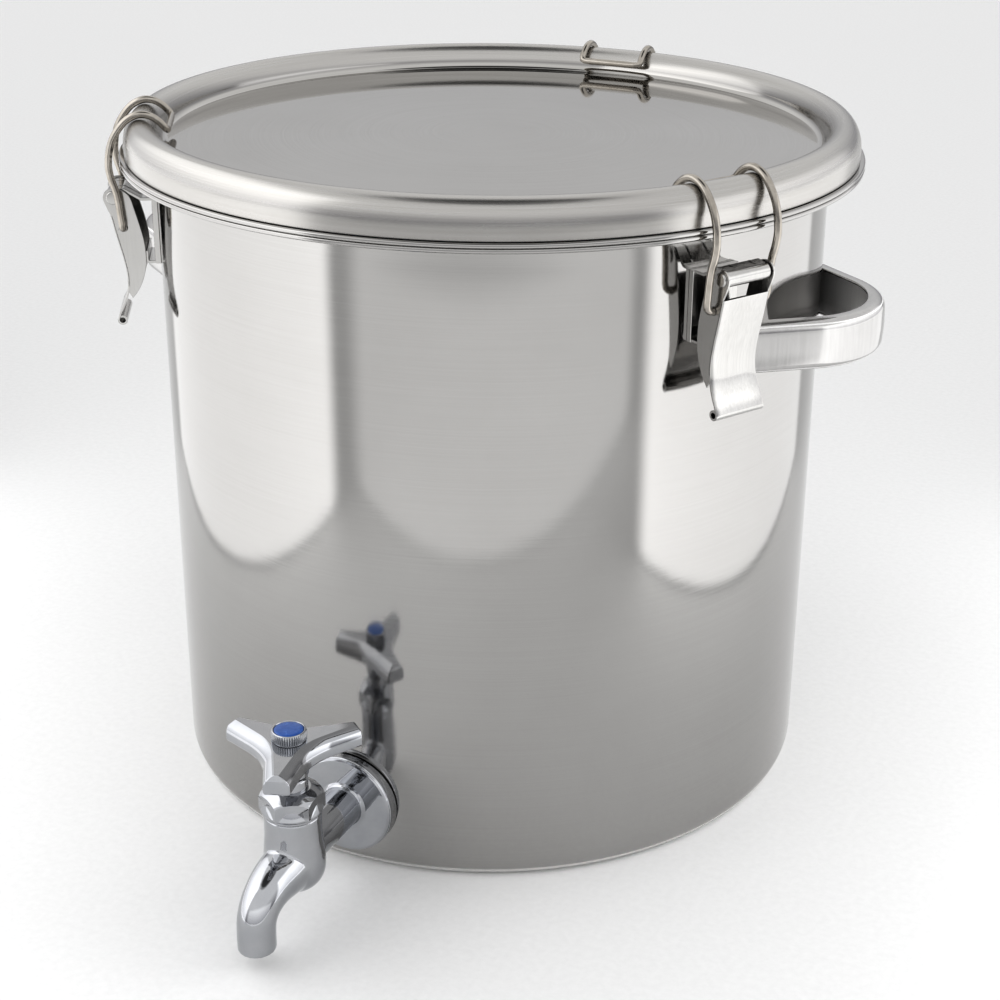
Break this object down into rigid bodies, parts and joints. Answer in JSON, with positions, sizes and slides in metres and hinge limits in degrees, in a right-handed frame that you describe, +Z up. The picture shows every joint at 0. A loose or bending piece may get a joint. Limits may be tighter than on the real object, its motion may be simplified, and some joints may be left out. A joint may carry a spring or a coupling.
{
  "type": "brew kettle",
  "caption": "Tall cylindrical stainless brewing vessel with a sealed drop-on lid held by sprung toggle clips, side loop handles and a low screw-down draw-off tap.",
  "frame": {"origin": "centre of the vessel's underside, where it stands", "axes": "+Z up along the vessel's axis, the tap points to -Y, the side handles lie along X"},
  "size_m": [0.368, 0.4128, 0.313],
  "materials": {
    "polished": "bright polished stainless sheet, mirror-like with faint drawn marks",
    "lid_steel": "stainless sheet, satin crown turned in circles around a bright flat plate",
    "clip_steel": "pressed stainless sheet, bright",
    "wire": "drawn stainless spring wire, slightly warm",
    "chrome": "bright chrome plate on brass",
    "brass": "machined brass, uncoated",
    "seal": "translucent pale silicone",
    "black_rubber": "black rubber",
    "blue": "glossy blue plastic"
  },
  "bodies": {
    "tank": {"vessel_base": "polished", "vessel_wall": "polished", "rim_flange": "polished", "rim_hem": "polished", "handle_right": "polished", "handle_left": "polished", "clip_base_1": "clip_steel", "clip_base_2": "clip_steel", "clip_base_3": "clip_steel", "tap_body": "chrome", "tap_flange": "chrome", "tap_gasket_outer": "black_rubber", "tap_gasket_inner": "black_rubber", "tap_washer": "brass", "tap_lock_nut": "brass", "tap_bonnet": "chrome", "tap_packing": "black_rubber"},
    "lid": {"lid": "lid_steel", "lid_gasket": "seal"},
    "valve_lift": {"valve_disc": "brass", "valve_rubber": "black_rubber"},
    "tap_turn": {"tap_spindle": "brass", "tap_knob": "chrome", "knob_cap": "chrome", "index_button": "blue"},
    "lever_1": {"clip_lever_1": "clip_steel", "clip_pin_1": "clip_steel"},
    "bail_1": {"clip_bail_1": "wire"},
    "lever_2": {"clip_lever_2": "clip_steel", "clip_pin_2": "clip_steel"},
    "bail_2": {"clip_bail_2": "wire"},
    "lever_3": {"clip_lever_3": "clip_steel", "clip_pin_3": "clip_steel"},
    "bail_3": {"clip_bail_3": "wire"}
  },
  "joints": [
    {"name": "lid_lift", "type": "slide", "parent": "tank", "child": "lid", "axis": [0, 0, 1], "range_m": [0, 0.12]},
    {"name": "lever_1_open", "type": "hinge", "parent": "tank", "child": "lever_1", "pos_m": [0.14705, -0.0849, 0.2739], "axis": [-0.5, -0.866, 0], "range_deg": [0, 150], "deforming": ["clip_bail_1"]},
    {"name": "bail_1_swing", "type": "hinge", "parent": "lever_1", "child": "bail_1", "pos_m": [0.14376, -0.083, 0.2603], "axis": [-0.5, -0.866, 0], "range_deg": [-190, 0]},
    {"name": "lever_2_open", "type": "hinge", "parent": "tank", "child": "lever_2", "pos_m": [0, 0.1698, 0.2739], "axis": [1, 0, 0], "range_deg": [0, 150], "deforming": ["clip_bail_2"]},
    {"name": "bail_2_swing", "type": "hinge", "parent": "lever_2", "child": "bail_2", "pos_m": [0, 0.166, 0.2603], "axis": [1, 0, 0], "range_deg": [-190, 0]},
    {"name": "lever_3_open", "type": "hinge", "parent": "tank", "child": "lever_3", "pos_m": [-0.14705, -0.0849, 0.2739], "axis": [-0.5, 0.866, 0], "range_deg": [0, 150], "deforming": ["clip_bail_3"]},
    {"name": "bail_3_swing", "type": "hinge", "parent": "lever_3", "child": "bail_3", "pos_m": [-0.14376, -0.083, 0.2603], "axis": [-0.5, 0.866, 0], "range_deg": [-190, 0]},
    {"name": "valve_rise", "type": "slide", "parent": "tank", "child": "valve_lift", "axis": [0, 0, 1], "range_m": [0, 0.0051]},
    {"name": "tap_open", "type": "hinge", "parent": "tank", "child": "tap_turn", "pos_m": [0, -0.1985, 0.08], "axis": [0, 0, 1], "range_deg": [0, 1080]}
  ],
  "couplings": [
    {"joint": "bail_1_swing", "follows": "lever_1_open", "ratio": -1.2667},
    {"joint": "bail_2_swing", "follows": "lever_2_open", "ratio": -1.2667},
    {"joint": "bail_3_swing", "follows": "lever_3_open", "ratio": -1.2667},
    {"joint": "valve_rise", "follows": "tap_open", "m_per_rad": 0.00026526}
  ]
}
